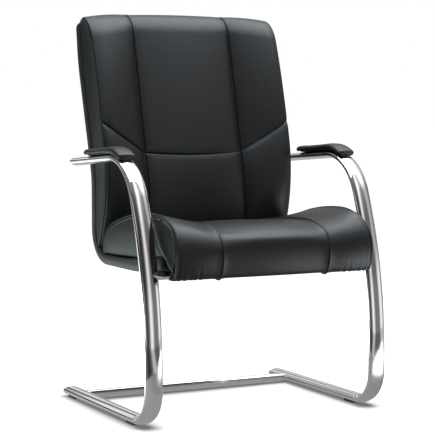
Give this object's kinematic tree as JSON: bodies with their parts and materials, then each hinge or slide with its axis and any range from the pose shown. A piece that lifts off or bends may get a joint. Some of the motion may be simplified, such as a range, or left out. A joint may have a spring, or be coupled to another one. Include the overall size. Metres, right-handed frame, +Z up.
{
  "type": "cantilever visitor armchair",
  "caption": "Upholstered visitor armchair: black leather seat and back on a padded shell, carried by bent oval chrome tubes that form the sled base, uprights and arms.",
  "frame": {"origin": "on the floor, under the middle of the chair's box", "axes": "+Z up, the sitter faces -Y, +X to the right of someone who faces the chair"},
  "size_m": [0.629, 0.5776, 0.949],
  "materials": {
    "chrome_tube": "polished",
    "leather_black": "semi-matte, fine grain",
    "pad_black": "satin moulded skin",
    "plastic_black": "fine moulded texture",
    "rail_paint": "black powder coat",
    "zinc_steel": "zinc plated",
    "plywood": "bare moulded plywood"
  },
  "bodies": {
    "root": {"side_frame_left": "chrome_tube", "side_frame_right": "chrome_tube", "floor_cross_tube": "chrome_tube", "seat_cross_tube": "chrome_tube", "seat_rail_left": "rail_paint", "seat_rail_right": "rail_paint", "arm_end_plugs": "plastic_black", "runner_end_plugs": "plastic_black", "front_glides": "plastic_black", "rear_glides": "plastic_black", "arm_pad_left": "pad_black", "arm_pad_right": "pad_black", "arm_pad_base_left": "plastic_black", "arm_pad_base_right": "plastic_black", "arm_pad_screws": "zinc_steel", "plywood_shell": "plywood", "outer_cover": "leather_black", "back_cushion": "leather_black", "seat_cushion": "leather_black", "seat_piping_left": "leather_black", "seat_piping_right": "leather_black", "seat_bolts": "zinc_steel", "seat_washers": "zinc_steel", "t_nuts": "zinc_steel"}
  },
  "joints": []
}
